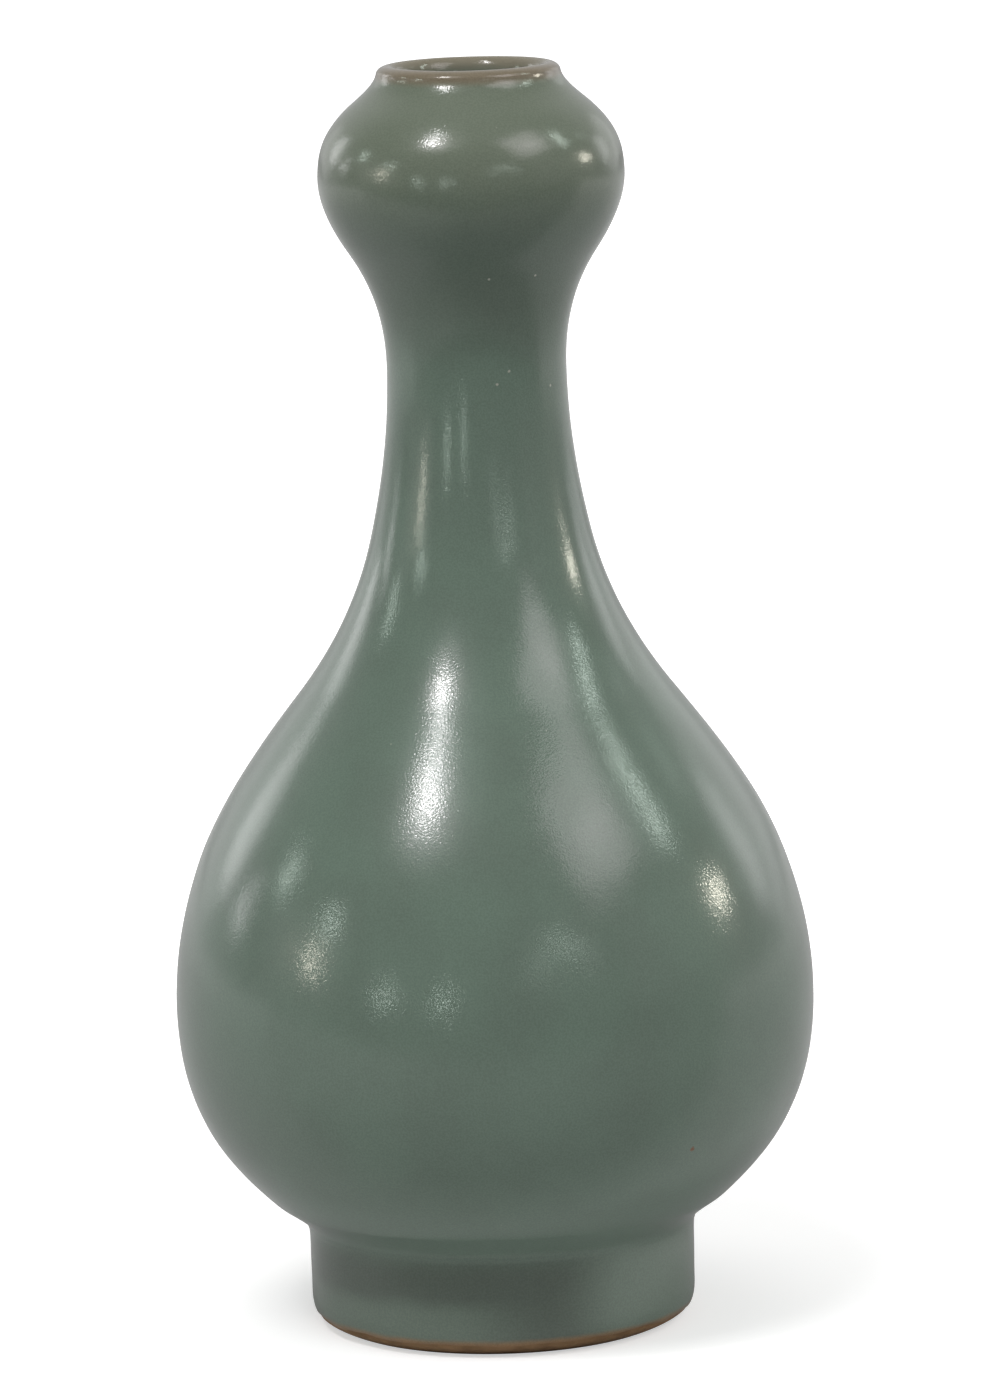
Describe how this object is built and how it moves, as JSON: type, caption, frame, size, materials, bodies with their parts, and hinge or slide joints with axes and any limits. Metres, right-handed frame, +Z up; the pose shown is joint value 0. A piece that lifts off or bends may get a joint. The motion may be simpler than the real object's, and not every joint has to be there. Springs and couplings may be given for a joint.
{
  "type": "garlic-head vase",
  "caption": "Glazed stoneware bottle vase with a pear-shaped belly, slender neck, garlic-bulb head and narrow mouth, on a turned foot ring; holds stems or stands as an ornament.",
  "frame": {"origin": "centre of the foot ring's resting edge, on the plane that the vase stands on", "axes": "+Z up along the axis that the vase is turned about, towards the mouth; it is the same all round, so +X and +Y are free"},
  "size_m": [0.1416, 0.1416, 0.28],
  "materials": {
    "celadon_glaze": "satin-gloss grey-green celadon glaze",
    "foot_glaze": "celadon glaze over the foot, bare brown clay at its edge",
    "clay_slip": "matt fired clay slip"
  },
  "bodies": {
    "root": {"foot_ring": "foot_glaze", "foot_slip_seam": "clay_slip", "lower_bowl": "celadon_glaze", "belly_slip_seam": "clay_slip", "shoulder": "celadon_glaze", "neck_slip_seam": "clay_slip", "neck": "celadon_glaze", "head_slip_seam": "clay_slip", "garlic_head": "celadon_glaze"}
  },
  "joints": []
}
